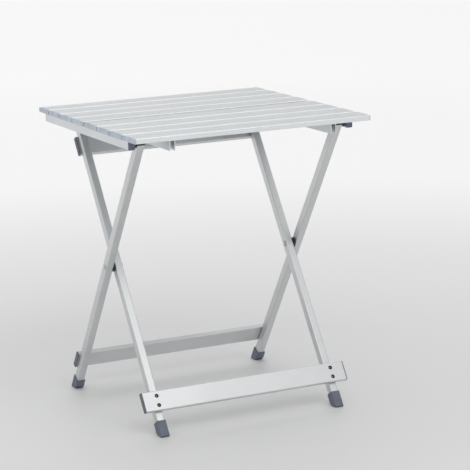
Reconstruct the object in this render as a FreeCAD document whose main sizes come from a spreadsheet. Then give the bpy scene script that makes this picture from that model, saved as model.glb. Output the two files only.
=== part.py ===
import math
import os

import FreeCAD
import Part
import Sketcher
from FreeCAD import Placement, Rotation, Vector

# A folding side table: a top of aluminium slats on two crossed leg frames.
# Millimetres, +Z up, +X to the right, -Y to the front. The origin is on the floor, under the top's middle.
# The inner frame is hinged to the top at the back. The outer frame turns on the inner one at the crossing,
# and its top ends slide in slots in the side rails from front to back as the table folds.

DIMENSIONS = [
    ("table_height", 595.0, "floor to the top of the slats"),
    ("top_width", 500.0, "length of a slat with its end caps"),
    ("table_depth", 505.0, "front edge to back edge of the top"),
    ("slat_depth", 61.9, "front-to-back size of a slat, apart from the narrower back one"),
    ("slat_gap", 1.2, "gap between two slats"),
    ("middle_gap", 9.6, "wider gap between the fourth and fifth slats"),
    ("slat_height", 10.5, "thickness of a slat"),
    ("slat_drop", 1.6, "fall from a slat's crest to its long edges"),
    ("crest_wide", 20.0, "flat crest along the middle of a slat's top"),
    ("brink_drop", 0.9, "fall from the crest, along an arc, to the steep band"),
    ("brink_in", 2.5, "width of the steep band along a slat's long edges"),
    ("brink_round", 12.0, "radius that blends the steep band into the crown"),
    ("slat_corner", 0.6, "rounding of a slat's four long corners"),
    ("slat_wall", 1.3, "skin of a slat"),
    ("slat_rim", 2.95, "solid rim along a slat's long edges"),
    ("slat_web", 1.2, "web between two of the three cells in a slat"),
    ("tongue_reach", 2.1, "how far a slat's tongue stands out of its back edge"),
    ("tongue_high", 3.0, "height of the tongue"),
    ("groove_deep", 2.0, "depth of the groove in a slat's front edge"),
    ("groove_high", 3.4, "height of the groove"),
    ("cap_flange", 3.0, "visible thickness of an end cap"),
    ("cap_inset", 0.9, "end cap's plate inside the slat's long edges"),
    ("cap_reach", 12.0, "length of an end cap's insert"),
    ("front_reach", 3.5, "length of a rail's front cap insert, which stops short of the guide slot"),
    ("back_reach", 8.0, "length of a rail's back cap insert, which stops short of the last screw"),
    ("bar_reach", 5.0, "length of a bar cap's insert, which stops short of the rivets"),
    ("cap_corner", 2.0, "corner radius of a tube cap's plate"),
    ("cap_edge", 0.8, "rounding of a cap's outer edge"),
    ("fit_gap", 0.1, "gap around an insert, each side"),
    ("leg_wide", 15.0, "leg tube across, X"),
    ("leg_deep", 17.5, "leg tube front to back"),
    ("tube_wall", 1.2, "wall of the leg, rail and bar tubes"),
    ("tube_round", 1.6, "outside corner radius of the tubes"),
    ("leg_tilt", 34.0, "lean of each leg from upright, degrees"),
    ("pivot_height", 300.0, "crossing pivot above the floor"),
    ("hinge_drop", 12.0, "hinge axis below the underside of the slats"),
    ("leg_over", 4.0, "leg tube above its top hinge axis"),
    ("leg_under", 350.0, "leg tube below the crossing pivot"),
    ("plug_round", 10.8, "radius of a leg plug's dome about the hinge axis"),
    ("inner_leg_x", 192.0, "middle of an inner leg"),
    ("outer_leg_x", 212.0, "middle of an outer leg"),
    ("foot_wide", 18.4, "foot across, X"),
    ("foot_deep", 21.5, "foot front to back"),
    ("foot_top", 333.0, "top of a foot below the crossing pivot, along the leg"),
    ("foot_block", 60.0, "length of the block that a foot is cut from"),
    ("sole_bevel", 4.0, "bevel of a foot's sole, front and back"),
    ("foot_round", 1.6, "rounding of a foot's edges"),
    ("bar_high", 40.0, "height of a cross bar"),
    ("bar_thick", 10.5, "thickness of a cross bar"),
    ("bar_flange", 2.5, "visible thickness of a bar cap"),
    ("front_bar_at", -295.0, "front bar's middle along the leg from the crossing"),
    ("front_bar_half", 223.0, "half length of the front bar with caps"),
    ("rear_bar_at", -288.5, "rear bar's middle along the leg from the crossing"),
    ("rear_bar_half", 224.0, "half length of the rear bar with caps"),
    ("upper_bar_at", 273.5, "upper bar's middle along the leg from the crossing"),
    ("upper_bar_half", 204.0, "half length of the upper bar with caps"),
    ("rivet_pitch", 19.3, "spacing of the two rivets that hold a bar to a leg"),
    ("rivet_shank", 4.0, "rivet shank diameter"),
    ("rivet_collar", 6.0, "collar of a rivet inside the bar"),
    ("rivet_head", 7.6, "rivet head diameter"),
    ("rivet_sunk", 0.9, "rivet head below the bar's outer face"),
    ("rivet_dimple", 2.6, "hollow in the middle of a rivet's head"),
    ("rivet_access", 8.4, "hole in a bar's outer wall over each rivet"),
    ("rail_x", 233.0, "middle of a side rail"),
    ("rail_wide", 13.0, "side rail across, X"),
    ("rail_high", 20.0, "height of a side rail"),
    ("rail_front", -194.5, "front end of the side rail tube"),
    ("rail_back", 239.0, "back end of the side rail tube"),
    ("slot_half", 188.2, "half length of the guide slot in a side rail"),
    ("slot_high", 8.16, "height of the guide slot"),
    ("channel_x", 171.0, "middle of an under-top channel"),
    ("channel_wide", 11.6, "channel across, X"),
    ("channel_high", 20.0, "height of a channel"),
    ("channel_wall", 1.5, "channel thickness"),
    ("channel_half", 245.0, "half length of a channel"),
    ("screw_shank", 3.5, "diameter of the slat screws"),
    ("screw_head", 6.5, "head diameter of the slat screws"),
    ("screw_head_high", 2.0, "head height of the slat screws"),
    ("screw_reach", 5.0, "screw tip above the underside of the slats"),
    ("screw_point", 0.8, "taper of a screw's tip"),
    ("screw_access", 8.0, "hole under each screw in a side rail"),
    ("hinge_bolt", 6.0, "diameter of the top hinge bolt"),
    ("hinge_head", 10.4, "head diameter of the hinge bolt"),
    ("hinge_head_high", 1.8, "head height of the hinge bolt"),
    ("hinge_tail", 5.0, "hinge bolt beyond the channel's inner cheek"),
    ("hinge_nut", 10.0, "diameter of the hinge nut"),
    ("hinge_nut_high", 4.0, "height of the hinge nut"),
    ("hinge_spacer", 14.0, "diameter of the spacer between channel and inner leg"),
    ("pivot_bolt", 8.0, "diameter of the crossing pivot bolt"),
    ("pivot_head", 9.6, "diameter of the pivot bolt's domed head"),
    ("pivot_head_high", 2.0, "height of the pivot bolt's head"),
    ("pivot_tail", 2.6, "pivot bolt beyond the inner leg's inner face"),
    ("pivot_nut", 11.2, "diameter of the pivot nut"),
    ("pivot_nut_high", 2.2, "height of the pivot nut"),
    ("spacer_round", 22.0, "diameter of the crossing spacer"),
    ("guide_pin", 5.0, "diameter of the guide pin"),
    ("pin_head", 8.4, "diameter of the guide pin's two heads"),
    ("pin_head_high", 1.5, "height of the guide pin's two heads"),
    ("guide_neck", 8.0, "diameter of the bushing in the slot"),
    ("bushing_flange", 13.0, "diameter of the bushing between leg and rail"),
    ("bushing_lip", 12.0, "diameter of the bushing inside the rail"),
    ("bushing_lip_thick", 2.0, "thickness of the bushing inside the rail"),
    ("turned_edge", 0.5, "bevel of a turned piece's outer edges"),
    ("head_dome", 0.9, "fall of a domed head to its rim"),
    ("shaft_gap", 0.05, "radial clearance of a shaft in its hole"),
    ("side_gap", 0.3, "gap between pieces that move past each other"),
    ("cut_over", 0.5, "how far a cut runs past the wall that it goes through"),
]

# Worked out in the sheet from the dimensions above.
DERIVED = [
    ("underside", "=table_height - slat_height", "floor to the underside of the slats"),
    ("hinge_height", "=underside - hinge_drop", "floor to the top hinge axis"),
    ("arm", "=(hinge_height - pivot_height) / cos(leg_tilt * 1 deg)", "crossing pivot to top hinge axis"),
    ("hinge_back", "=arm * sin(leg_tilt * 1 deg)", "top hinge axis behind the crossing pivot"),
    ("slat_step", "=slat_depth + slat_gap", "front edge of one slat to the front edge of the next"),
    ("back_slat_depth", "=table_depth - 7 * slat_step - middle_gap + slat_gap", "depth of slat 8"),
    ("slat_1_at", "=(slat_depth - table_depth) / 2", "middle of slat 1, the front one"),
    ("slat_2_at", "=slat_1_at + slat_step", "middle of slat 2"),
    ("slat_3_at", "=slat_2_at + slat_step", "middle of slat 3"),
    ("slat_4_at", "=slat_3_at + slat_step", "middle of slat 4"),
    ("slat_5_at", "=slat_4_at + slat_depth + middle_gap", "middle of slat 5"),
    ("slat_6_at", "=slat_5_at + slat_step", "middle of slat 6"),
    ("slat_7_at", "=slat_6_at + slat_step", "middle of slat 7"),
    ("slat_8_at", "=(table_depth - back_slat_depth) / 2", "middle of slat 8, the back one"),
]

SLATS = range(1, 9)
SLATS_OVER_RAILS = range(2, 9)
SLATS_BEFORE_A_WIDE_GAP = (4, 8)
SIDES = {"left": -1, "right": 1}

doc = FreeCAD.newDocument("FoldingSideTable")
sheet = doc.addObject("Spreadsheet::Sheet", "Dims")
for row, (alias, value, meaning) in enumerate(DIMENSIONS + DERIVED, start=1):
    sheet.set("A%d" % row, meaning)
    sheet.set("B%d" % row, str(value))
    sheet.setAlias("B%d" % row, alias)
doc.recompute()

subparts = []


def dim(alias):
    return float(sheet.get(alias))


def slat_y(number):
    return dim("slat_%d_at" % number)


# The frame of each group: the two leg frames start at the crossing with +Z up along the leg, and the top's
# frame starts at the underside of the slats.
CROSSING = Vector(0, 0, dim("pivot_height"))
INNER = Placement(CROSSING, Rotation(Vector(1, 0, 0), -dim("leg_tilt")))
OUTER = Placement(CROSSING, Rotation(Vector(1, 0, 0), dim("leg_tilt")))
TOP = Placement(Vector(0, 0, dim("underside")), Rotation())
UPRIGHT_AXIS = Rotation(Vector(0, 1, 0), -90)
TOUCH = 0.001
HALF_TURN = Rotation(Vector(0, 0, 1), 180)


def at(frame, x=0.0, y=0.0, z=0.0, turn=Rotation()):
    return frame.multiply(Placement(Vector(x, y, z), turn))


def keep(piece, place=None):
    """Lists a piece for export, at its place."""
    if place is not None:
        piece.Placement = place
    subparts.append(piece)
    return piece


def new_body(label):
    body = doc.addObject("PartDesign::Body", label)
    body.Label = label
    return body


def sketch_on(body, name, role, shift=("0", "0", "0")):
    """A sketch on one of the body's own origin planes, moved by three expressions."""
    sketch = body.newObject("Sketcher::SketchObject", name)
    plane = [feature for feature in body.Origin.OriginFeatures if feature.Role == role][0]
    sketch.AttachmentSupport = [(plane, "")]
    sketch.MapMode = "FlatFace"
    for axis, rule in zip("xyz", shift):
        sketch.setExpression("AttachmentOffset.Base." + axis, rule)
    return sketch


def worth(sketch, rule):
    """What an expression comes to now."""
    return float(sketch.evalExpression(rule))


def fix_size(sketch, rule, kind, *where):
    """Adds a constraint whose size is an expression."""
    index = sketch.addConstraint(Sketcher.Constraint(kind, *where, worth(sketch, rule)))
    sketch.setExpression("Constraints[%d]" % index, rule)


def fix_point(sketch, geometry, point, across, up):
    """Ties a point to the sketch's origin with two expressions."""
    fix_size(sketch, across, "DistanceX", -1, 1, geometry, point)
    fix_size(sketch, up, "DistanceY", -1, 1, geometry, point)


def add_lines(sketch, corners):
    """Joined straight lines through corners, each a pair of expressions. The last corner is left free."""
    points = [Vector(worth(sketch, across), worth(sketch, up), 0) for across, up in corners]
    lines = sketch.addGeometry([Part.LineSegment(a, b) for a, b in zip(points, points[1:])], False)
    for first, second in zip(lines, lines[1:]):
        sketch.addConstraint(Sketcher.Constraint("Coincident", first, 2, second, 1))
    for line, (across, up) in zip(lines, corners):
        fix_point(sketch, line, 1, across, up)
    return lines


def add_chain(sketch, corners):
    """An open chain of straight lines."""
    lines = add_lines(sketch, corners)
    fix_point(sketch, lines[-1], 2, *corners[-1])
    return lines


def add_loop(sketch, corners):
    """A closed loop of straight lines."""
    lines = add_lines(sketch, corners + corners[:1])
    sketch.addConstraint(Sketcher.Constraint("Coincident", lines[-1], 2, lines[0], 1))


def add_arc(sketch, start, end, radius):
    """An arc of less than half a turn, anticlockwise between the ends of two lines."""
    size = worth(sketch, radius)
    first, last = sketch.getPoint(*start), sketch.getPoint(*end)
    chord = last - first
    rise = size - math.sqrt(size * size - (chord.Length / 2) ** 2)
    outward = Vector(chord.y, -chord.x, 0).normalize()
    arc = sketch.addGeometry(Part.Arc(first, (first + last) / 2 + outward * rise, last), False)
    sketch.addConstraint(Sketcher.Constraint("Coincident", arc, 1, *start))
    sketch.addConstraint(Sketcher.Constraint("Coincident", arc, 2, *end))
    fix_size(sketch, radius, "Radius", arc)


def add_box_loop(sketch, width, height):
    """A rectangle centred on the sketch's origin."""
    wide = "(%s) / 2" % width
    high = "(%s) / 2" % height
    add_loop(sketch, [("-" + wide, "-" + high), (wide, "-" + high), (wide, high), ("-" + wide, high)])


def add_circles(sketch, centres, diameter):
    radius = worth(sketch, diameter) / 2
    for across, up in centres:
        centre = Vector(worth(sketch, across), worth(sketch, up), 0)
        circle = sketch.addGeometry(Part.Circle(centre, Vector(0, 0, 1), radius), False)
        fix_point(sketch, circle, 3, across, up)
        fix_size(sketch, diameter, "Diameter", circle)


def pad(body, sketch, length, reverse=False):
    feature = body.newObject("PartDesign::Pad", sketch.Name + "_pad")
    feature.Profile = sketch
    feature.Reversed = reverse
    feature.setExpression("Length", length)
    doc.recompute()
    return feature


def cut(body, sketch, depth=None, reverse=False):
    """A pocket to a depth, or through everything. It fails if nothing is removed."""
    before = body.Shape.Volume
    feature = body.newObject("PartDesign::Pocket", sketch.Name + "_cut")
    feature.Profile = sketch
    feature.Reversed = reverse
    if depth is None:
        feature.Type = "ThroughAll"
    else:
        feature.setExpression("Length", depth)
    doc.recompute()
    if body.Shape.Volume > before - 0.01:
        raise RuntimeError(body.Label + ": " + sketch.Name + " removes nothing")
    return feature


def edge_names(shape, wanted):
    return ["Edge%d" % number for number, edge in enumerate(shape.Edges, start=1) if wanted(edge)]


def is_corner_edge(shape, along):
    """Tests for an edge along one axis at a corner of the shape's box."""
    box = shape.BoundBox
    low = (box.XMin, box.YMin, box.ZMin)
    high = (box.XMax, box.YMax, box.ZMax)
    others = [axis for axis in range(3) if axis != along]

    def test(edge):
        start, end = edge.Vertexes[0].Point, edge.Vertexes[-1].Point
        runs_along = all(abs(end[axis] - start[axis]) < TOUCH for axis in others)
        return runs_along and all(min(abs(end[axis] - low[axis]), abs(end[axis] - high[axis])) < TOUCH
                                  for axis in others)

    return test


def is_face_edge(x):
    """Tests for an edge that lies in the plane at a local X."""
    return lambda edge: all(abs(vertex.Point.x - x) < TOUCH for vertex in edge.Vertexes)


def is_crown_edge(shape, low, high):
    """Tests for an edge along X that lies between two heights."""
    ends = (shape.BoundBox.XMin, shape.BoundBox.XMax)

    def test(edge):
        start, end = edge.Vertexes[0].Point, edge.Vertexes[-1].Point
        return abs(end.x - start.x) > 0.5 * (ends[1] - ends[0]) and low < start.z < high

    return test


def round_edges(body, feature, wanted, radius, name="round"):
    fillet = body.newObject("PartDesign::Fillet", feature.Name + "_" + name)
    fillet.Base = (feature, edge_names(feature.Shape, wanted))
    fillet.setExpression("Radius", radius)
    doc.recompute()
    return fillet


def turned(label, profile):
    """A turned piece: a profile of (place along the axis, radius) expressions turned about local X."""
    body = new_body(label)
    sketch = sketch_on(body, label + "_profile", "XZ_Plane")
    add_loop(sketch, profile)
    feature = body.newObject("PartDesign::Revolution", label + "_turn")
    feature.Profile = sketch
    feature.ReferenceAxis = (sketch, ["H_Axis"])
    feature.Angle = 360.0
    doc.recompute()
    return body


def set_out(label, placed):
    """One node of several solids. Each is a master piece at a place."""
    node = doc.addObject("Part::Feature", label)
    solids = []
    for master, place in placed:
        solid = master.Shape.copy()
        solid.Placement = place
        solids.append(solid)
    node.Shape = Part.makeCompound(solids)
    return keep(node)


def copies(label, master, places):
    return set_out(label, [(master, place) for place in places])


def box_part(name, sizes, place):
    box = doc.addObject("Part::Box", name)
    for side, rule in zip(("Length", "Width", "Height"), sizes):
        box.setExpression(side, rule)
    box.Placement = place
    return box


def rod_part(name, radius, length, place):
    """A cylinder that starts at its place and runs along local X."""
    rod = doc.addObject("Part::Cylinder", name)
    rod.setExpression("Radius", radius)
    rod.setExpression("Height", length)
    rod.Placement = place.multiply(Placement(Vector(), Rotation(Vector(0, 1, 0), 90)))
    return rod


def combine(kind, label, base, tool):
    result = doc.addObject(kind, label)
    result.Base = base
    result.Tool = tool
    doc.recompute()
    return result


def common(label, first, second):
    result = doc.addObject("Part::MultiCommon", label)
    result.Shapes = [first, second]
    doc.recompute()
    return result


# ---- the top -------------------------------------------------------------------------------------

def slat_depth(number):
    return "Dims.back_slat_depth" if number == SLATS[-1] else "Dims.slat_depth"


def cell_loops(sketch, depth, shrink):
    """The three cells of a slat, each side drawn in by an expression."""
    width = "((%s - 2 * Dims.slat_rim - 2 * Dims.slat_web) / 3)" % depth
    low = "(Dims.slat_wall + %s)" % shrink
    high = "(Dims.slat_height - Dims.slat_drop - Dims.slat_wall - %s)" % shrink
    for place in (-1, 0, 1):
        left = "(%d * (%s + Dims.slat_web) - %s / 2 + %s)" % (place, width, width, shrink)
        right = "(%d * (%s + Dims.slat_web) + %s / 2 - %s)" % (place, width, width, shrink)
        add_loop(sketch, [(left, low), (right, low), (right, high), (left, high)])


def slat_outline(sketch, depth, inset="0"):
    """A slat's section: a flat crest, an arc down each side of it, and a steep band along both long edges."""
    edge = "(%s / 2 - %s)" % (depth, inset)
    edge_top = "(Dims.slat_height - Dims.slat_drop)"
    brink = "(%s / 2 - Dims.brink_in)" % depth
    brink_top = "(Dims.slat_height - Dims.brink_drop)"
    crest = "(Dims.crest_wide / 2)"
    run = "(%s - %s)" % (brink, crest)
    level_at_crest = "(%s * %s + Dims.brink_drop * Dims.brink_drop) / (2 * Dims.brink_drop)" % (run, run)
    lower = add_chain(sketch, [("-" + brink, brink_top), ("-" + edge, edge_top), ("-" + edge, "0"),
                               (edge, "0"), (edge, edge_top), (brink, brink_top)])
    upper = add_chain(sketch, [(crest, "Dims.slat_height"), ("-" + crest, "Dims.slat_height")])
    add_arc(sketch, (lower[-1], 2), (upper[0], 1), level_at_crest)
    add_arc(sketch, (upper[-1], 2), (lower[0], 1), level_at_crest)


def round_crown(body, feature):
    """Rounds a slat's long corners, and blends its steep bands into the crown."""
    edge_top = dim("slat_height") - dim("slat_drop")
    brink_top = dim("slat_height") - dim("brink_drop")
    corners = is_crown_edge(feature.Shape, -TOUCH, edge_top + TOUCH)
    cornered = round_edges(body, feature, corners, "Dims.slat_corner", "corner")
    brinks = is_crown_edge(cornered.Shape, brink_top - TOUCH, brink_top + TOUCH)
    round_edges(body, cornered, brinks, "Dims.brink_round", "brink")


def slat(number):
    """A hollow extrusion along X, with a tongue at its back edge and a groove at its front edge."""
    body = new_body("slat_%d" % number)
    depth = slat_depth(number)
    start = "-(Dims.top_width / 2 - Dims.cap_flange)"
    length = "Dims.top_width - 2 * Dims.cap_flange"
    middle = "(Dims.slat_height - Dims.slat_drop) / 2"
    outline = sketch_on(body, "outline_%d" % number, "YZ_Plane", ("0", "0", start))
    slat_outline(outline, depth)
    round_crown(body, pad(body, outline, length))
    cells = sketch_on(body, "cells_%d" % number, "YZ_Plane", ("0", "0", "Dims.top_width"))
    cell_loops(cells, depth, "0")
    cut(body, cells)
    if number not in SLATS_BEFORE_A_WIDE_GAP:
        tongue = sketch_on(body, "tongue_%d" % number, "YZ_Plane",
                           ("(%s + Dims.tongue_reach) / 2" % depth, middle, start))
        add_box_loop(tongue, "Dims.tongue_reach", "Dims.tongue_high")
        pad(body, tongue, length)
    if number - 1 in SLATS and number - 1 not in SLATS_BEFORE_A_WIDE_GAP:
        groove = sketch_on(body, "groove_%d" % number, "YZ_Plane",
                           ("(Dims.groove_deep - %s) / 2" % depth, middle, "Dims.top_width"))
        add_box_loop(groove, "Dims.groove_deep", "Dims.groove_high")
        cut(body, groove)
    screws = sketch_on(body, "screw_holes_%d" % number, "XY_Plane")
    columns = ["Dims.channel_x", "-Dims.channel_x"]
    if number in SLATS_OVER_RAILS:
        columns += ["Dims.rail_x", "-Dims.rail_x"]
    add_circles(screws, [(column, "0") for column in columns], "Dims.screw_shank + 2 * Dims.shaft_gap")
    cut(body, screws, "Dims.slat_wall + Dims.cut_over", reverse=True)
    return keep(body, at(TOP, y=slat_y(number)))


def slat_end_cap(label, depth):
    """One plastic cap: a plate over the slat's end and three inserts in its cells."""
    body = new_body(label)
    plate = sketch_on(body, label + "_plate", "YZ_Plane")
    slat_outline(plate, depth, "Dims.cap_inset")
    pad(body, plate, "Dims.cap_flange")
    inserts = sketch_on(body, label + "_inserts", "YZ_Plane")
    cell_loops(inserts, depth, "Dims.fit_gap")
    whole = pad(body, inserts, "Dims.cap_reach", reverse=True)
    round_edges(body, whole, is_face_edge(dim("cap_flange")), "Dims.cap_edge")
    return body


def slat_caps():
    """The caps on both ends of every slat: one master for slats 1 to 7 and one for the narrower back slat."""
    end = dim("top_width") / 2 - dim("cap_flange")
    masters = {}
    for label, numbers in (("slat_cap_master", SLATS[:-1]), ("back_slat_cap_master", SLATS[-1:])):
        master = slat_end_cap(label, slat_depth(numbers[-1]))
        masters.update({number: master for number in numbers})
    for side, sign in SIDES.items():
        turn = Rotation() if sign > 0 else HALF_TURN
        set_out("slat_end_caps_" + side,
                [(masters[number], at(TOP, sign * end, slat_y(number), 0, turn)) for number in SLATS])


def side_rail(side, sign):
    """A square tube under the slats, with a guide slot in the wall that faces the legs."""
    body = new_body("side_rail_" + side)
    section = sketch_on(body, "rail_section_" + side, "XZ_Plane",
                        ("0", "-Dims.rail_high / 2", "-Dims.rail_back"))
    add_box_loop(section, "Dims.rail_wide", "Dims.rail_high")
    add_box_loop(section, "Dims.rail_wide - 2 * Dims.tube_wall", "Dims.rail_high - 2 * Dims.tube_wall")
    tube = pad(body, section, "Dims.rail_back - Dims.rail_front")
    round_edges(body, tube, is_corner_edge(tube.Shape, 1), "Dims.tube_round")
    inner_face = "%d * Dims.rail_wide / 2" % -sign
    slot = sketch_on(body, "guide_slot_" + side, "YZ_Plane", ("0", "-Dims.hinge_drop", inner_face))
    add_box_loop(slot, "2 * Dims.slot_half", "Dims.slot_high")
    cut(body, slot, "Dims.tube_wall + Dims.cut_over", reverse=sign > 0)
    rows = [("0", "Dims.slat_%d_at" % number) for number in SLATS_OVER_RAILS]
    seats = sketch_on(body, "screw_seats_" + side, "XY_Plane")
    add_circles(seats, rows, "Dims.screw_shank + 2 * Dims.shaft_gap")
    cut(body, seats, "Dims.tube_wall + Dims.cut_over")
    access = sketch_on(body, "screw_access_" + side, "XY_Plane", ("0", "0", "-Dims.rail_high"))
    add_circles(access, rows, "Dims.screw_access")
    cut(body, access, "Dims.tube_wall + Dims.cut_over", reverse=True)
    return keep(body, at(TOP, x=sign * dim("rail_x")))


def tube_cap(label, wide, high, flange, reach):
    """A plastic cap for a rectangular tube, with its plate's back at local X 0 and its insert towards -X."""
    body = new_body(label)
    plate = sketch_on(body, label + "_plate", "YZ_Plane")
    add_box_loop(plate, wide, high)
    slab = pad(body, plate, flange)
    round_edges(body, slab, is_corner_edge(slab.Shape, 0), "Dims.cap_corner")
    insert = sketch_on(body, label + "_insert", "YZ_Plane")
    inset = " - 2 * (Dims.tube_wall + Dims.fit_gap)"
    add_box_loop(insert, wide + inset, high + inset)
    whole = pad(body, insert, reach, reverse=True)
    round_edges(body, whole, is_face_edge(whole.Shape.BoundBox.XMax), "Dims.cap_edge")
    return body


def rail_caps(side, sign):
    middle = {"x": sign * dim("rail_x"), "z": -dim("rail_high") / 2}
    for end, reach, quarter in (("front", "Dims.front_reach", -90), ("back", "Dims.back_reach", 90)):
        cap = tube_cap("rail_cap_%s_%s" % (end, side), "Dims.rail_wide", "Dims.rail_high", "Dims.cap_flange",
                       reach)
        keep(cap, at(TOP, y=dim("rail_" + end), turn=Rotation(Vector(0, 0, 1), quarter), **middle))


def top_channel(side, sign):
    """A channel open downwards that ties the slats together and carries the hinge at its back end."""
    body = new_body("top_channel_" + side)
    section = sketch_on(body, "channel_section_" + side, "XZ_Plane", ("0", "0", "-Dims.channel_half"))
    out = "Dims.channel_wide / 2"
    inside = "(Dims.channel_wide / 2 - Dims.channel_wall)"
    low = "-Dims.channel_high"
    web = "-Dims.channel_wall"
    add_loop(section, [("-" + out, "0"), ("-" + out, low), ("-" + inside, low), ("-" + inside, web),
                       (inside, web), (inside, low), (out, low), (out, "0")])
    pad(body, section, "2 * Dims.channel_half")
    rows = [("0", "Dims.slat_%d_at" % number) for number in SLATS]
    seats = sketch_on(body, "channel_seats_" + side, "XY_Plane")
    add_circles(seats, rows, "Dims.screw_shank + 2 * Dims.shaft_gap")
    cut(body, seats, "Dims.channel_wall + Dims.cut_over")
    hinge = sketch_on(body, "hinge_hole_" + side, "YZ_Plane", ("0", "0", "Dims.channel_wide"))
    add_circles(hinge, [("Dims.hinge_back", "-Dims.hinge_drop")], "Dims.hinge_bolt + 2 * Dims.shaft_gap")
    cut(body, hinge)
    return keep(body, at(TOP, x=sign * dim("channel_x")))


def screw_master(label, seat):
    """A pan-head screw along local X. Its head sits below the slats by the thickness of what it holds."""
    shank = "Dims.screw_shank / 2"
    head = "Dims.screw_head / 2"
    head_end = "-%s - Dims.screw_head_high" % seat
    return turned(label, [(head_end, "0"), ("Dims.screw_reach", "0"),
                          ("Dims.screw_reach", shank + " - Dims.screw_point"),
                          ("Dims.screw_reach - Dims.screw_point", shank),
                          ("-" + seat, shank), ("-" + seat, head),
                          (head_end + " + Dims.head_dome", head), (head_end, head + " - Dims.head_dome")])


def slat_screws():
    """Screws driven upwards through the channels and rails into the slats."""
    channel_screw = screw_master("channel_screw_master", "Dims.channel_wall")
    rail_screw = screw_master("rail_screw_master", "Dims.tube_wall")
    copies("channel_screws", channel_screw, [at(TOP, sign * dim("channel_x"), slat_y(number), 0, UPRIGHT_AXIS)
                                             for sign in SIDES.values() for number in SLATS])
    copies("rail_screws", rail_screw, [at(TOP, sign * dim("rail_x"), slat_y(number), 0, UPRIGHT_AXIS)
                                       for sign in SIDES.values() for number in SLATS_OVER_RAILS])


def both_sides(frame, along=0.0):
    """Places for a turned piece on the right, pointing outwards, and on the left, turned half round."""
    return [at(frame, z=along), at(frame, z=along, turn=HALF_TURN)]


def ring(label, start, end, bore, radius):
    """A turned ring with both outer edges bevelled."""
    return turned(label, [(start, bore), (end, bore), (end, radius + " - Dims.turned_edge"),
                          (end + " - Dims.turned_edge", radius), (start + " + Dims.turned_edge", radius),
                          (start, radius + " - Dims.turned_edge")])


def hinge_parts():
    """The two bolts that hinge the top to the inner legs, with nuts and spacers. They ride with the top."""
    channel_in = "(Dims.channel_x - Dims.channel_wide / 2)"
    channel_out = "(Dims.channel_x + Dims.channel_wide / 2)"
    leg_in = "(Dims.inner_leg_x - Dims.leg_wide / 2)"
    seat = "(Dims.inner_leg_x + Dims.leg_wide / 2 + Dims.side_gap)"
    shank = "Dims.hinge_bolt / 2"
    head = "Dims.hinge_head / 2"
    head_end = seat + " + Dims.hinge_head_high"
    tail = channel_in + " - Dims.hinge_tail"
    bore = shank + " + Dims.shaft_gap"
    bolt = turned("hinge_bolt_master", [(tail, "0"), (head_end, "0"), (head_end, head + " - Dims.head_dome"),
                                        (head_end + " - Dims.head_dome", head), (seat, head), (seat, shank),
                                        (tail, shank)])
    nut = ring("hinge_nut_master", channel_in + " - Dims.hinge_nut_high", channel_in, bore,
               "Dims.hinge_nut / 2")
    places = both_sides(Placement(Vector(0, dim("hinge_back"), dim("hinge_height")), Rotation()))
    copies("hinge_bolts", bolt, places)
    copies("hinge_nuts", nut, places)
    for side, place in zip(("right", "left"), places):
        spacer = ring("hinge_spacer_" + side, channel_out, leg_in + " - Dims.side_gap", bore,
                      "Dims.hinge_spacer / 2")
        keep(spacer, place)


# ---- the leg frames ------------------------------------------------------------------------------

def rivet_rows(bar_at):
    return ["(%s + Dims.rivet_pitch / 2)" % bar_at, "(%s - Dims.rivet_pitch / 2)" % bar_at]


def leg(label, frame, x, hinge_hole, front_bars, back_bars):
    """A leg tube in its frame: holes across it for the pivots and in one face for the rivets of each bar."""
    body = new_body(label)
    section = sketch_on(body, label + "_section", "XY_Plane", ("0", "0", "-Dims.leg_under"))
    add_box_loop(section, "Dims.leg_wide", "Dims.leg_deep")
    add_box_loop(section, "Dims.leg_wide - 2 * Dims.tube_wall", "Dims.leg_deep - 2 * Dims.tube_wall")
    tube = pad(body, section, "Dims.leg_under + Dims.leg_over + Dims.arm")
    round_edges(body, tube, is_corner_edge(tube.Shape, 2), "Dims.tube_round")
    for name, along, diameter in (("pivot", "0", "Dims.pivot_bolt"), ("hinge", "Dims.arm", hinge_hole)):
        hole = sketch_on(body, "%s_%s" % (label, name), "YZ_Plane", ("0", "0", "Dims.leg_wide"))
        add_circles(hole, [("0", along)], diameter + " + 2 * Dims.shaft_gap")
        cut(body, hole)
    for name, bars, face, reverse in (("front", front_bars, "Dims.leg_deep / 2", False),
                                      ("back", back_bars, "-Dims.leg_deep / 2", True)):
        if bars:
            rows = [("0", row) for bar_at in bars for row in rivet_rows(bar_at)]
            holes = sketch_on(body, "%s_%s_rivets" % (label, name), "XZ_Plane", ("0", "0", face))
            add_circles(holes, rows, "Dims.rivet_shank + 2 * Dims.shaft_gap")
            cut(body, holes, "Dims.tube_wall + Dims.cut_over", reverse=reverse)
    return keep(body, at(frame, x=x))


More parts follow.
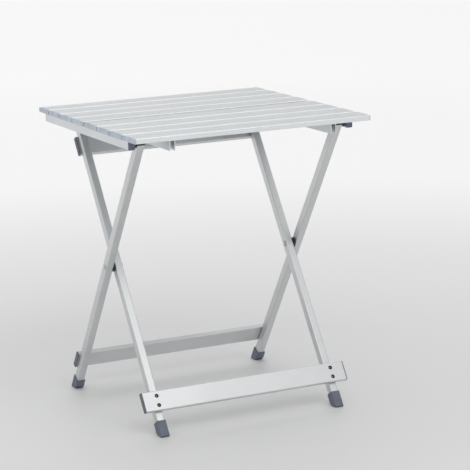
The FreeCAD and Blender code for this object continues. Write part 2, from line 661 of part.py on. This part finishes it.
def leg_plug(label, frame, x, bolt):
    """The plug in a leg's top end: a dome about the bolt's axis, and an insert that the bolt runs through."""
    arm = dim("arm")
    half_wide = dim("leg_wide") / 2
    half_deep = dim("leg_deep") / 2
    inset = dim("tube_wall") + dim("fit_gap")
    inside = " - 2 * (Dims.tube_wall + Dims.fit_gap)"
    block = box_part(label + "_block", ("Dims.leg_wide", "Dims.leg_deep", "Dims.plug_round"),
                     at(frame, x - half_wide, -half_deep, arm + dim("leg_over")))
    barrel = rod_part(label + "_barrel", "Dims.plug_round", "Dims.leg_wide", at(frame, x - half_wide, 0, arm))
    dome = common(label + "_dome", block, barrel)
    insert = box_part(label + "_insert",
                      ("Dims.leg_wide" + inside, "Dims.leg_deep" + inside, "Dims.leg_over + Dims.cap_reach"),
                      at(frame, x - half_wide + inset, -half_deep + inset, arm - dim("cap_reach")))
    whole = combine("Part::Fuse", label + "_whole", dome, insert)
    bore = rod_part(label + "_bore", bolt + " / 2 + Dims.shaft_gap", "2 * Dims.leg_wide",
                    at(frame, x - dim("leg_wide"), 0, arm))
    return keep(combine("Part::Cut", label, whole, bore))


def runs_across(edge):
    return abs(edge.Vertexes[0].Point.x - edge.Vertexes[-1].Point.x) > 1.0


def is_on_floor(edge):
    return all(abs(vertex.Point.z) < TOUCH for vertex in edge.Vertexes)


def foot(label, frame, x):
    """A sleeve foot: a block around the leg's end, cut level with the floor and rounded at its foot."""
    wide = dim("foot_wide")
    deep = dim("foot_deep")
    high = dim("foot_block")
    sleeve_end = at(frame, z=-dim("foot_top")).Base
    block = box_part(label + "_block", ("Dims.foot_wide", "Dims.foot_deep", "Dims.foot_block"),
                     at(frame, x - wide / 2, -deep / 2, -dim("foot_top") - high))
    floor = box_part(label + "_floor", ("2 * Dims.foot_wide", "2 * Dims.foot_block", "Dims.foot_block"),
                     Placement(Vector(x - wide, sleeve_end.y - high, -high), Rotation()))
    level = combine("Part::Cut", label + "_level", block, floor)
    bevel_size = dim("sole_bevel")
    bevel = doc.addObject("Part::Chamfer", label + "_bevel")
    bevel.Base = level
    bevel.Edges = [(number, bevel_size, bevel_size) for number, edge in enumerate(level.Shape.Edges, start=1)
                   if is_on_floor(edge) and runs_across(edge)]
    doc.recompute()
    along = frame.Rotation.multVec(Vector(0, 0, 1))
    top_end = along.dot(sleeve_end)
    radius = dim("foot_round")
    sole = doc.addObject("Part::Fillet", label + "_sole")
    sole.Base = bevel
    sole.Edges = [(number, radius, radius) for number, edge in enumerate(bevel.Shape.Edges, start=1)
                  if any(along.dot(vertex.Point) < top_end - TOUCH for vertex in edge.Vertexes)]
    doc.recompute()
    gap = dim("fit_gap") / 2
    socket = box_part(label + "_socket",
                      ("Dims.leg_wide + Dims.fit_gap", "Dims.leg_deep + Dims.fit_gap", "Dims.foot_block"),
                      at(frame, x - dim("leg_wide") / 2 - gap, -dim("leg_deep") / 2 - gap, -dim("leg_under")))
    return keep(combine("Part::Cut", label, sole, socket))


def crossbar(label, frame, bar_at, half, leg_x, facing):
    """A flat tube across a leg pair, on the front (-1) or back (1) face of the legs."""
    body = new_body(label)
    middle = "%d * (Dims.leg_deep + Dims.bar_thick) / 2" % facing
    start = "-(%s - Dims.bar_flange)" % half
    section = sketch_on(body, label + "_section", "YZ_Plane", (middle, bar_at, start))
    add_box_loop(section, "Dims.bar_thick", "Dims.bar_high")
    add_box_loop(section, "Dims.bar_thick - 2 * Dims.tube_wall", "Dims.bar_high - 2 * Dims.tube_wall")
    tube = pad(body, section, "2 * (%s - Dims.bar_flange)" % half)
    round_edges(body, tube, is_corner_edge(tube.Shape, 0), "Dims.tube_round")
    spots = [(column, row) for column in (leg_x, "-" + leg_x) for row in rivet_rows(bar_at)]
    inner_face = "%d * Dims.leg_deep / 2" % -facing
    outer_face = "%d * (Dims.leg_deep / 2 + Dims.bar_thick)" % -facing
    seats = sketch_on(body, label + "_seats", "XZ_Plane", ("0", "0", inner_face))
    add_circles(seats, spots, "Dims.rivet_shank + 2 * Dims.shaft_gap")
    cut(body, seats, "Dims.tube_wall + Dims.cut_over", reverse=facing < 0)
    access = sketch_on(body, label + "_access", "XZ_Plane", ("0", "0", outer_face))
    add_circles(access, spots, "Dims.rivet_access")
    cut(body, access, "Dims.tube_wall + Dims.cut_over", reverse=facing > 0)
    return keep(body, at(frame))


def bar_caps(name, frame, bar_at, half, facing):
    y = facing * (dim("leg_deep") + dim("bar_thick")) / 2
    end = dim(half) - dim("bar_flange")
    for side, sign in SIDES.items():
        label = "%s_bar_cap_%s" % (name, side)
        cap = tube_cap(label, "Dims.bar_thick", "Dims.bar_high", "Dims.bar_flange", "Dims.bar_reach")
        turn = Rotation() if sign > 0 else HALF_TURN
        keep(cap, at(frame, sign * end, y, dim(bar_at), turn))


def rivet_master():
    """A rivet along local X from the leg's face at 0: a sunk head, a collar in the bar, a tail in the leg."""
    shank = "Dims.rivet_shank / 2"
    collar = "Dims.rivet_collar / 2"
    head = "Dims.rivet_head / 2"
    top = "Dims.bar_thick - Dims.rivet_sunk"
    under = top + " - Dims.head_dome"
    tail = shank + " + Dims.head_dome"
    blind = "-Dims.tube_wall - 2 * Dims.head_dome"
    return turned("rivet_master", [(blind, "0"), (top + " - Dims.turned_edge", "0"),
                                   (top + " - Dims.turned_edge", "Dims.rivet_dimple / 2"),
                                   (top, "Dims.rivet_dimple / 2 + Dims.turned_edge"),
                                   (top + " - Dims.turned_edge", head), (under, head), (under, collar),
                                   ("Dims.tube_wall", collar), ("Dims.tube_wall", shank),
                                   ("-Dims.tube_wall", shank), ("-Dims.tube_wall", tail), (blind, shank)])


def bar_rivets(label, master, frame, bar_at, leg_x, facing):
    """Four rivets that hold a bar to both legs."""
    face = facing * dim("leg_deep") / 2
    turn = Rotation(Vector(0, 0, 1), 90 * facing)
    rows = (dim(bar_at) - dim("rivet_pitch") / 2, dim(bar_at) + dim("rivet_pitch") / 2)
    copies(label, master,
           [at(frame, sign * dim(leg_x), face, row, turn) for sign in SIDES.values() for row in rows])


def pivot_parts():
    """The bolts through the crossings, with nuts and spacers. They ride with the inner frame."""
    inner_in = "(Dims.inner_leg_x - Dims.leg_wide / 2)"
    inner_out = "(Dims.inner_leg_x + Dims.leg_wide / 2)"
    outer_in = "(Dims.outer_leg_x - Dims.leg_wide / 2)"
    seat = "(Dims.outer_leg_x + Dims.leg_wide / 2 + Dims.side_gap)"
    shank = "Dims.pivot_bolt / 2"
    bore = shank + " + Dims.shaft_gap"
    head = "Dims.pivot_head / 2"
    head_end = seat + " + Dims.pivot_head_high"
    tail = inner_in + " - Dims.pivot_tail"
    bolt = turned("pivot_bolt_master", [(tail, "0"), (head_end, "0"),
                                        (head_end, head + " - 2 * Dims.head_dome"),
                                        (head_end + " - Dims.turned_edge", head + " - Dims.head_dome"),
                                        (seat + " + Dims.turned_edge", head), (seat, head), (seat, shank),
                                        (tail, shank)])
    nut = ring("pivot_nut_master", inner_in + " - Dims.pivot_nut_high", inner_in, bore, "Dims.pivot_nut / 2")
    places = both_sides(Placement(CROSSING, Rotation()))
    copies("pivot_bolts", bolt, places)
    copies("pivot_nuts", nut, places)
    for side, place in zip(("right", "left"), places):
        far = outer_in + " - Dims.side_gap"
        keep(ring("pivot_spacer_" + side, inner_out, far, bore, "Dims.spacer_round / 2"), place)


def guide_parts():
    """The pins and bushings on top of the outer legs that slide in the side rails' slots."""
    outer_in = "(Dims.outer_leg_x - Dims.leg_wide / 2)"
    outer_out = "(Dims.outer_leg_x + Dims.leg_wide / 2)"
    rail_face = "(Dims.rail_x - Dims.rail_wide / 2)"
    near = rail_face + " - Dims.side_gap"
    lip_in = rail_face + " + Dims.tube_wall + Dims.side_gap"
    lip_end = lip_in + " + Dims.bushing_lip_thick"
    shank = "Dims.guide_pin / 2"
    head = "Dims.pin_head / 2"
    bore = shank + " + Dims.shaft_gap"
    neck = "Dims.guide_neck / 2"
    lip = "Dims.bushing_lip / 2"
    flange = "Dims.bushing_flange / 2"
    high = "Dims.pin_head_high"
    pin = turned("guide_pin_master", [("%s - %s" % (outer_in, high), "0"), ("%s + %s" % (lip_end, high), "0"),
                                      ("%s + %s" % (lip_end, high), head + " - Dims.turned_edge"),
                                      ("%s + %s - Dims.turned_edge" % (lip_end, high), head), (lip_end, head),
                                      (lip_end, shank), (outer_in, shank), (outer_in, head),
                                      ("%s - %s + Dims.turned_edge" % (outer_in, high), head),
                                      ("%s - %s" % (outer_in, high), head + " - Dims.turned_edge")])
    places = both_sides(OUTER, dim("arm"))
    copies("guide_pins", pin, places)
    for side, place in zip(("right", "left"), places):
        bushing = turned("guide_bushing_" + side,
                         [(outer_out, bore), (lip_end, bore), (lip_end, lip + " - Dims.turned_edge"),
                          (lip_end + " - Dims.turned_edge", lip), (lip_in, lip), (lip_in, neck), (near, neck),
                          (near, flange + " - Dims.turned_edge"), (near + " - Dims.turned_edge", flange),
                          (outer_out + " + Dims.turned_edge", flange),
                          (outer_out, flange + " - Dims.turned_edge")])
        keep(bushing, place)


def build():
    for number in SLATS:
        slat(number)
    slat_caps()
    for side, sign in SIDES.items():
        side_rail(side, sign)
        rail_caps(side, sign)
        top_channel(side, sign)
    slat_screws()
    hinge_parts()
    for side, sign in SIDES.items():
        inner_x = sign * dim("inner_leg_x")
        outer_x = sign * dim("outer_leg_x")
        leg("inner_leg_" + side, INNER, inner_x, "Dims.hinge_bolt",
            ["Dims.front_bar_at"], ["Dims.upper_bar_at"])
        leg("outer_leg_" + side, OUTER, outer_x, "Dims.guide_pin", [], ["Dims.rear_bar_at"])
        leg_plug("inner_leg_plug_" + side, INNER, inner_x, "Dims.hinge_bolt")
        leg_plug("outer_leg_plug_" + side, OUTER, outer_x, "Dims.guide_pin")
        foot("inner_foot_" + side, INNER, inner_x)
        foot("outer_foot_" + side, OUTER, outer_x)
    rivet = rivet_master()
    for name, frame, leg_x, facing in (("front", INNER, "inner_leg_x", -1),
                                       ("upper", INNER, "inner_leg_x", 1),
                                       ("rear", OUTER, "outer_leg_x", 1)):
        bar_at = name + "_bar_at"
        half = name + "_bar_half"
        crossbar(name + "_crossbar", frame, "Dims." + bar_at, "Dims." + half, "Dims." + leg_x, facing)
        bar_caps(name, frame, bar_at, half, facing)
        bar_rivets(name + "_bar_rivets", rivet, frame, bar_at, leg_x, facing)
    pivot_parts()
    guide_parts()


def check_and_write():
    doc.recompute()
    for item in doc.Objects:
        if "Invalid" in item.State or "Error" in item.State:
            raise RuntimeError("%s is %s" % (item.Label, item.State))
    for piece in subparts:
        if piece.Shape.isNull() or not piece.Shape.isValid():
            raise RuntimeError(piece.Label + " has no valid shape")
    os.makedirs("parts", exist_ok=True)
    for piece in subparts:
        piece.Shape.exportStep(os.path.join("parts", piece.Label + ".step"))
    print("%d sub-parts written" % len(subparts))
    print("top hinge at y %.4f, z %.4f" % (dim("hinge_back"), dim("hinge_height")))


build()
check_and_write()
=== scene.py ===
"""Looks of the folding side table: satin aluminium slats and tubes, moulded plastic caps and feet."""

import math

import bmesh
import bpy
from mathutils import Matrix, Vector


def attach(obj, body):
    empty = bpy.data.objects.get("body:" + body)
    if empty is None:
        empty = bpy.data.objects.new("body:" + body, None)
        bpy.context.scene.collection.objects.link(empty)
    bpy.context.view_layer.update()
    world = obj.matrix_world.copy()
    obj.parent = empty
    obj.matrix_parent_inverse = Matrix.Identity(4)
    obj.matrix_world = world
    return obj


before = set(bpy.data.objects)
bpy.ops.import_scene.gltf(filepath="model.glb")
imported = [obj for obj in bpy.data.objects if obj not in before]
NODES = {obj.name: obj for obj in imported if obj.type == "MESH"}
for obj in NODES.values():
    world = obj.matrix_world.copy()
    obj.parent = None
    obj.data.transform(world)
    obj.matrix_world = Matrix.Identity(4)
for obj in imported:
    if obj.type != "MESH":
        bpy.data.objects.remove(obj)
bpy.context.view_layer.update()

# --- camera -------------------------------------------------------------------------------------
CAMERA_PLACE = (-1.6391, -3.5687, 1.1724)
CAMERA_AZIMUTH = -25.597
CAMERA_ELEVATION = 11.998
CAMERA_ROLL = -1.585
SENSOR = 36.0
LENS = 151.07
CLIP_RANGE = (0.1, 60.0)


def add_camera():
    """The camera stands where the photograph's did: front left, a little above the table top."""
    azimuth, elevation = math.radians(CAMERA_AZIMUTH), math.radians(CAMERA_ELEVATION)
    roll = math.radians(CAMERA_ROLL)
    right = Vector((math.cos(azimuth), math.sin(azimuth), 0.0))
    back = Vector((math.sin(azimuth) * math.cos(elevation),
                   -math.cos(azimuth) * math.cos(elevation),
                   math.sin(elevation)))
    up = back.cross(right)
    rolled_right = right * math.cos(roll) + up * math.sin(roll)
    rolled_up = up * math.cos(roll) - right * math.sin(roll)
    data = bpy.data.cameras.new("camera")
    data.sensor_width = SENSOR
    data.lens = LENS
    data.clip_start, data.clip_end = CLIP_RANGE
    camera = bpy.data.objects.new("camera", data)
    turn = Matrix((rolled_right, rolled_up, back)).transposed().to_4x4()
    camera.matrix_world = Matrix.Translation(CAMERA_PLACE) @ turn
    bpy.context.scene.collection.objects.link(camera)
    bpy.context.scene.camera = camera


# --- studio -------------------------------------------------------------------------------------
FLOOR_HALF = 14.0
# The floor's level near the table, darker there as a painted shadow, and far from it, its faint painted
# glow further out, and the distances from the table over which each of the two comes in.
FLOOR_SHADED_NEAR = 0.78
FLOOR_FAR = 0.98
FLOOR_GLOW = 0.22
SHADE_FADES_FROM, SHADE_FADES_TO = 1.5, 5.0
GLOW_FROM, GLOW_TO = 0.6, 2.5
FLOOR_CLOUD = 0.01
FLOOR_ROUGH = 0.5
# Brightness of the surroundings at a few heights, each the sine of an elevation: towards the front
# and back, and towards the sides.
SKY_FRONT_BACK = ((-1.0, 0.30), (0.0, 0.95), (0.25, 0.72), (0.5, 0.82), (0.75, 0.95), (1.0, 1.10))
SKY_SIDES = ((-1.0, 0.20), (0.0, 0.34), (0.25, 0.30), (0.5, 0.30), (0.75, 0.45), (1.0, 1.10))
NEVER_ZERO = 0.0001
# Each light: name, place, what it points at, size, watts.
LIGHTS = (
    ("front", (0.0, -2.4, 2.6), (0.0, 0.0, 0.4), (3.0, 1.4), 16.5),
    ("left", (-2.6, 0.3, 1.3), (0.0, 0.0, 0.35), (1.6, 1.2), 4.5),
    ("back", (1.1, 2.3, 2.6), (0.0, 0.0, 0.55), (3.0, 1.1), 8.0),
)


def add_area_light(name, place, target, size, power):
    data = bpy.data.lights.new(name, "AREA")
    data.shape = "RECTANGLE"
    data.size, data.size_y = size
    data.energy = power
    light = bpy.data.objects.new(name, data)
    direction = Vector(target) - Vector(place)
    turn = direction.to_track_quat("-Z", "Y").to_matrix().to_4x4()
    light.matrix_world = Matrix.Translation(place) @ turn
    bpy.context.scene.collection.objects.link(light)


def add_floor():
    mesh = bpy.data.meshes.new("floor")
    corners = [(x * FLOOR_HALF, y * FLOOR_HALF, 0.0) for x, y in ((-1, -1), (1, -1), (1, 1), (-1, 1))]
    mesh.from_pydata(corners, [], [(0, 1, 2, 3)])
    mesh.materials.append(floor_material())
    floor = bpy.data.objects.new("floor", mesh)
    bpy.context.scene.collection.objects.link(floor)


def sky_ramp(tree, height, table):
    """The brightness of one side of the surroundings, from the sine of the elevation."""
    ramp = tree.add("ShaderNodeValToRGB")
    stops = ramp.color_ramp.elements
    while len(stops) < len(table):
        stops.new(0.5)
    for stop, (sine, level) in zip(stops, table):
        stop.position = (sine + 1.0) / 2.0
        stop.color = grey(level)
    tree.link(height, ramp.inputs["Fac"])
    return ramp.outputs["Color"]


def add_surroundings():
    """Soft white surroundings, bright in front, behind and overhead, and dim at the sides."""
    world = bpy.data.worlds.new("studio")
    world.use_nodes = True
    tree = Tree(world.node_tree)
    split = tree.add("ShaderNodeSeparateXYZ")
    tree.link(tree.add("ShaderNodeTexCoord").outputs["Generated"], split.inputs[0])
    x, y, z = split.outputs
    height = tree.math("ADD", tree.math("MULTIPLY", z, 0.5), 0.5)
    across, along = tree.math("MULTIPLY", x, x), tree.math("MULTIPLY", y, y)
    level_part = tree.math("ADD", tree.math("ADD", across, along), NEVER_ZERO)
    sides = tree.math("DIVIDE", across, level_part)
    front_back = sky_ramp(tree, height, SKY_FRONT_BACK)
    light = tree.mixed(sides, front_back, sky_ramp(tree, height, SKY_SIDES))
    tree.link(light, world.node_tree.nodes["Background"].inputs["Color"])
    bpy.context.scene.world = world


def add_studio():
    """A pale floor that runs far past the view, white surroundings and large soft lights."""
    add_floor()
    add_surroundings()
    for light in LIGHTS:
        add_area_light(*light)
    bpy.context.scene.view_settings.view_transform = "Standard"


# --- materials ----------------------------------------------------------------------------------
BEVEL_SAMPLES = 4
# Painted shade in crevices: the samples and reach of the occlusion that darkens a colour where parts
# close in.
CREVICE_SHADE_SAMPLES = 8
CREVICE_SHADE_REACH = 0.006
# Painted shade in crevices: how open a place is where its painted shade is at its darkest, and where it
# is no longer darker.
CREVICE_SHADE_OPENNESS = (0.15, 0.75)
# The two colour inputs of a mix node and its colour output, which share their names with others.
MIX_A, MIX_B, MIX_RESULT = 6, 7, 2
# Nearly all of a noise lies between the first two numbers, and of the average of two noises
# between the second two.
NOISE_SPAN = (0.3, 0.7)
AVERAGE_SPAN = (0.35, 0.65)
# How a grain is scaled on each axis, so that its lines run along x, along y, or up the leaning legs.
GRAIN_ALONG = {"x": (0.02, 1.0, 1.0), "y": (1.0, 0.02, 1.0), "leg": (1.0, 0.05, 0.05)}
COOL = (0.965, 1.0, 1.02)
PLAIN = (0.98, 1.0, 1.01)
WARM = (1.0, 1.0, 0.99)
BLUISH = (1.0, 1.0, 1.05)
PALE_BLUE = (0.88, 0.98, 1.12)
SLATE = (0.79, 0.90, 1.20)


class Tree:
    """A node tree, with a short call for each kind of node that is used here."""

    def __init__(self, tree):
        self.tree = tree

    def add(self, kind, **settings):
        node = self.tree.nodes.new(kind)
        for key, value in settings.items():
            setattr(node, key, value)
        return node

    def link(self, source, target):
        self.tree.links.new(source, target)

    def fill(self, socket, value):
        if isinstance(value, bpy.types.NodeSocket):
            self.link(value, socket)
        else:
            socket.default_value = value

    def math(self, operation, a, b=0.0, clamp=False):
        node = self.add("ShaderNodeMath", operation=operation, use_clamp=clamp)
        self.fill(node.inputs[0], a)
        self.fill(node.inputs[1], b)
        return node.outputs[0]

    def average(self, a, b):
        return self.math("ADD", self.math("MULTIPLY", a, 0.5), self.math("MULTIPLY", b, 0.5))

    def ranged(self, value, low, high, to_low=0.0, to_high=1.0):
        node = self.add("ShaderNodeMapRange")
        self.fill(node.inputs["Value"], value)
        ends = {"From Min": low, "From Max": high, "To Min": to_low, "To Max": to_high}
        for key, number in ends.items():
            node.inputs[key].default_value = number
        return node.outputs["Result"]

    def mixed(self, factor, a, b):
        node = self.add("ShaderNodeMix", data_type="RGBA")
        self.fill(node.inputs["Factor"], factor)
        self.fill(node.inputs[MIX_A], a)
        self.fill(node.inputs[MIX_B], b)
        return node.outputs[MIX_RESULT]


class Shader(Tree):
    """One material, with its Principled surface."""

    def __init__(self, name):
        self.material = bpy.data.materials.new(name)
        self.material.use_nodes = True
        super().__init__(self.material.node_tree)
        self.surface = self.tree.nodes["Principled BSDF"]
        self.place = self.add("ShaderNodeTexCoord").outputs["Object"]

    def stretched(self, scale):
        """The object's own coordinates, in metres, times a scale for each axis."""
        mapping = self.add("ShaderNodeMapping")
        self.link(self.place, mapping.inputs["Vector"])
        mapping.inputs["Scale"].default_value = scale
        return mapping.outputs["Vector"]

    def noise(self, scale, detail=2.0, roughness=0.5, stretch=(1.0, 1.0, 1.0)):
        node = self.add("ShaderNodeTexNoise")
        self.link(self.stretched(stretch), node.inputs["Vector"])
        node.inputs["Scale"].default_value = scale
        node.inputs["Detail"].default_value = detail
        node.inputs["Roughness"].default_value = roughness
        return node.outputs["Fac"]

    def set(self, name, value):
        self.fill(self.surface.inputs[name], value)

    def set_roughness(self, pattern, rough, smoother, rougher):
        """A roughness that varies with a noise, from a little smoother to a little rougher."""
        self.set("Roughness", self.ranged(pattern, *NOISE_SPAN, rough - smoother, rough + rougher))

    def ground(self, shade, level, tint, dark, light):
        """A grey that goes, with a shade from 0 to 1, from a darker to a lighter share of its level."""
        return self.mixed(shade, grey(level * dark, tint), grey(level * light, tint))

    def worn(self, wear, colour, level, tint, lighter, lightest):
        """A colour that turns to a lighter grey of its own level where the surface is worn."""
        return self.mixed(wear, colour, grey(min(level * lighter, lightest), tint))

    def edge_wear(self, radius, gain):
        """0 on flat ground, rising to 1 on sharp edges, where a bevelled normal turns away."""
        bevel = self.add("ShaderNodeBevel", samples=BEVEL_SAMPLES)
        bevel.inputs["Radius"].default_value = radius
        true_normal = self.add("ShaderNodeNewGeometry").outputs["Normal"]
        dot = self.add("ShaderNodeVectorMath", operation="DOT_PRODUCT")
        self.link(bevel.outputs["Normal"], dot.inputs[0])
        self.link(true_normal, dot.inputs[1])
        turned = self.math("SUBTRACT", 1.0, dot.outputs["Value"], clamp=True)
        return self.math("MULTIPLY", turned, gain, clamp=True)

    def painted_crevice_shade(self, colour, depth):
        """A colour with painted shade, growing darker where the surface is closed in by others."""
        nearby = self.add("ShaderNodeAmbientOcclusion", samples=CREVICE_SHADE_SAMPLES)
        nearby.inputs["Distance"].default_value = CREVICE_SHADE_REACH
        shade = self.ranged(nearby.outputs["AO"], *CREVICE_SHADE_OPENNESS, 1.0 - depth, 1.0)
        darker = self.add("ShaderNodeVectorMath", operation="SCALE")
        self.link(colour, darker.inputs[0])
        self.link(shade, darker.inputs["Scale"])
        return darker.outputs["Vector"]

    def bump(self, height, distance, strength):
        node = self.add("ShaderNodeBump")
        self.fill(node.inputs["Height"], height)
        node.inputs["Distance"].default_value = distance
        node.inputs["Strength"].default_value = strength
        self.set("Normal", node.outputs["Normal"])


def grey(level, tint=(1.0, 1.0, 1.0)):
    return (level * tint[0], level * tint[1], level * tint[2], 1.0)


def floor_material():
    """Satin paint with a painted shadow near the table, a little paler and with a faint painted glow far
    from it.
    """
    shader = Shader("floor_paint")
    cloud = shader.noise(scale=0.6, detail=3.0)
    length = shader.add("ShaderNodeVectorMath", operation="LENGTH")
    shader.link(shader.place, length.inputs[0])
    distance = length.outputs["Value"]
    # Painted shadow: the floor's colour is darker near the table and fades to paler further out.
    near = shader.mixed(cloud, grey(FLOOR_SHADED_NEAR - FLOOR_CLOUD), grey(FLOOR_SHADED_NEAR + FLOOR_CLOUD))
    paler = shader.ranged(distance, SHADE_FADES_FROM, SHADE_FADES_TO)
    shader.set("Base Color", shader.mixed(paler, near, grey(FLOOR_FAR)))
    shader.set("Roughness", FLOOR_ROUGH)
    # Painted glow: the floor gives off a faint light far from the table.
    shader.set("Emission Color", grey(1.0))
    shader.set("Emission Strength", shader.ranged(distance, GLOW_FROM, GLOW_TO, 0.0, FLOOR_GLOW))
    return shader.material


def aluminium(name, level, tint, rough, grain):
    """Satin anodised extrusion: drawn lines along its length, soft stains, brighter worn edges, and
    painted shade in crevices.
    """
    shader = Shader(name)
    lines = shader.noise(scale=900.0, detail=3.0, roughness=0.6, stretch=GRAIN_ALONG[grain])
    stain = shader.noise(scale=9.0, detail=4.0, roughness=0.6)
    shade = shader.ranged(shader.average(lines, stain), *AVERAGE_SPAN)
    wear = shader.edge_wear(radius=0.0012, gain=3.0)
    colour = shader.ground(shade, level, tint, dark=0.94, light=1.04)
    worn = shader.worn(wear, colour, level, tint, lighter=1.18, lightest=0.95)
    # Painted shade: the colour darkens in crevices and between parts.
    shader.set("Base Color", shader.painted_crevice_shade(worn, depth=0.75))
    shader.set("Metallic", 0.82)
    shader.set_roughness(lines, rough, smoother=0.05, rougher=0.06)
    shader.bump(lines, distance=0.00004, strength=0.35)
    return shader.material


def moulded(name, level, tint, rough, pore_depth):
    """Moulded plastic: fine spark-eroded grain, faint mottling, rubbed lighter edges, and painted shade
    in crevices.
    """
    shader = Shader(name)
    mottle = shader.noise(scale=55.0, detail=4.0, roughness=0.55)
    pores = shader.noise(scale=2600.0, detail=2.0, roughness=0.6)
    wear = shader.edge_wear(radius=0.0009, gain=1.6)
    colour = shader.ground(shader.ranged(mottle, *NOISE_SPAN), level, tint, dark=0.88, light=1.1)
    worn = shader.worn(wear, colour, level, tint, lighter=1.7, lightest=0.9)
    # Painted shade: the colour darkens in crevices and in the gaps between parts.
    shader.set("Base Color", shader.painted_crevice_shade(worn, depth=0.85))
    shader.set_roughness(pores, rough, smoother=0.07, rougher=0.09)
    shader.bump(pores, pore_depth, strength=0.4)
    return shader.material


def polished(name, level, tint, rough):
    """Plated steel: faint turning marks and dull patches."""
    shader = Shader(name)
    marks = shader.noise(scale=1400.0, detail=3.0)
    dull = shader.noise(scale=120.0, detail=3.0)
    wear = shader.edge_wear(radius=0.0004, gain=2.0)
    colour = shader.ground(shader.ranged(dull, *NOISE_SPAN), level, tint, dark=0.85, light=1.05)
    shader.set("Base Color", shader.worn(wear, colour, level, tint, lighter=1.3, lightest=0.95))
    shader.set("Metallic", 0.95)
    shader.set_roughness(dull, rough, smoother=0.05, rougher=0.08)
    shader.bump(marks, distance=0.00002, strength=0.3)
    return shader.material


def make_finishes():
    """The finish of each material slot of the record."""
    return {
        "slat_aluminium": aluminium("slat_satin", level=0.77, tint=COOL, rough=0.27, grain="x"),
        "leg_aluminium": aluminium("leg_satin", level=0.69, tint=PLAIN, rough=0.38, grain="leg"),
        "bar_aluminium": aluminium("bar_satin", level=0.71, tint=PLAIN, rough=0.40, grain="x"),
        "rail_aluminium": aluminium("rail_satin", level=0.74, tint=COOL, rough=0.38, grain="y"),
        "slat_cap_plastic": moulded("slat_cap_moulded", level=0.60, tint=PALE_BLUE, rough=0.5,
                                    pore_depth=0.00006),
        "slate_plastic": moulded("slate_moulded", level=0.16, tint=SLATE, rough=0.45, pore_depth=0.00006),
        "foot_plastic": moulded("foot_moulded", level=0.175, tint=SLATE, rough=0.5, pore_depth=0.00009),
        "black_nylon": moulded("nylon_black", level=0.02, tint=BLUISH, rough=0.4, pore_depth=0.00004),
        "rivet_metal": polished("rivet_plated", level=0.72, tint=COOL, rough=0.3),
        # Painted shade: the rivet heads are made dark to stand in for the shade in their recessed holes.
        "rivet_dark": polished("rivet_dark_painted_shade", level=0.07, tint=BLUISH, rough=0.35),
        "fastener_steel": polished("fastener_plated", level=0.62, tint=WARM, rough=0.28),
    }


def dress(finishes):
    """Every CAD node keeps its shape and takes the finish of its material slot."""
    for node in NODES.values():
        for holder in node.material_slots:
            holder.material = finishes[holder.material.name.split(".")[0]]


# --- rivet stubs --------------------------------------------------------------------------------
TILT = math.radians(34.0)
STUB_RADIUS = 0.0013
STUB_HEIGHT = 0.0008
STUB_SUNK = 0.6
STUB_SIDES = 20
STUB_STEPS = 5
RIM_DEPTH = 0.0001
# Each set of rivets: node, body, which way along y its heads face, and 1 or -1 as its legs lean to
# the back or to the front.
STUBS = (("front_bar_rivets", "inner_frame", -1, 1),
         ("upper_bar_rivets", "inner_frame", 1, 1),
         ("rear_bar_rivets", "outer_frame", 1, -1))


def islands(mesh):
    """The separate solids of a mesh, each a list of vertex places."""
    group = list(range(len(mesh.vertices)))

    def root(index):
        while group[index] != index:
            group[index] = group[group[index]]
            index = group[index]
        return index

    for edge in mesh.edges:
        a, b = (root(index) for index in edge.vertices)
        group[a] = b
    found = {}
    for vertex in mesh.vertices:
        found.setdefault(root(vertex.index), []).append(vertex.co.copy())
    return list(found.values())


def add_dome(shape, base, out):
    """A low dome of revolution, closed underneath, standing on its base along a direction."""
    side = Vector((1.0, 0.0, 0.0))
    other = out.cross(side)
    turns = [2.0 * math.pi * k / STUB_SIDES for k in range(STUB_SIDES)]
    spokes = [side * math.cos(turn) + other * math.sin(turn) for turn in turns]
    rings = []
    for step in range(STUB_STEPS):
        angle = math.pi / 2.0 * step / STUB_STEPS
        middle = base + out * (STUB_HEIGHT * math.sin(angle))
        radius = STUB_RADIUS * math.cos(angle)
        rings.append([shape.verts.new(middle + spoke * radius) for spoke in spokes])
    top = shape.verts.new(base + out * STUB_HEIGHT)
    for low, high in zip(rings, rings[1:]):
        for k in range(STUB_SIDES):
            shape.faces.new((low[k], low[k - 1], high[k - 1], high[k]))
    for k in range(STUB_SIDES):
        shape.faces.new((rings[-1][k], rings[-1][k - 1], top))
    shape.faces.new(rings[0])


def add_stubs(finish):
    """The bright broken pin in the middle of every rivet head, whose dark colour is painted shade."""
    for node, body, facing, lean in STUBS:
        out = Vector((0.0, facing * math.cos(TILT), -facing * lean * math.sin(TILT)))
        shape = bmesh.new()
        for points in islands(NODES[node].data):
            face = max(point.dot(out) for point in points)
            rim = [point for point in points if point.dot(out) > face - RIM_DEPTH]
            middle = sum(rim, Vector()) / len(rim)
            add_dome(shape, middle - out * STUB_HEIGHT * STUB_SUNK, out)
        bmesh.ops.recalc_face_normals(shape, faces=shape.faces)
        mesh = bpy.data.meshes.new(node + "_stubs")
        shape.to_mesh(mesh)
        shape.free()
        for polygon in mesh.polygons:
            polygon.use_smooth = True
        mesh.materials.append(finish)
        stubs = bpy.data.objects.new(node + "_stubs", mesh)
        bpy.context.scene.collection.objects.link(stubs)
        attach(stubs, body)


FINISHES = make_finishes()
add_camera()
add_studio()
dress(FINISHES)
add_stubs(FINISHES["rivet_metal"])
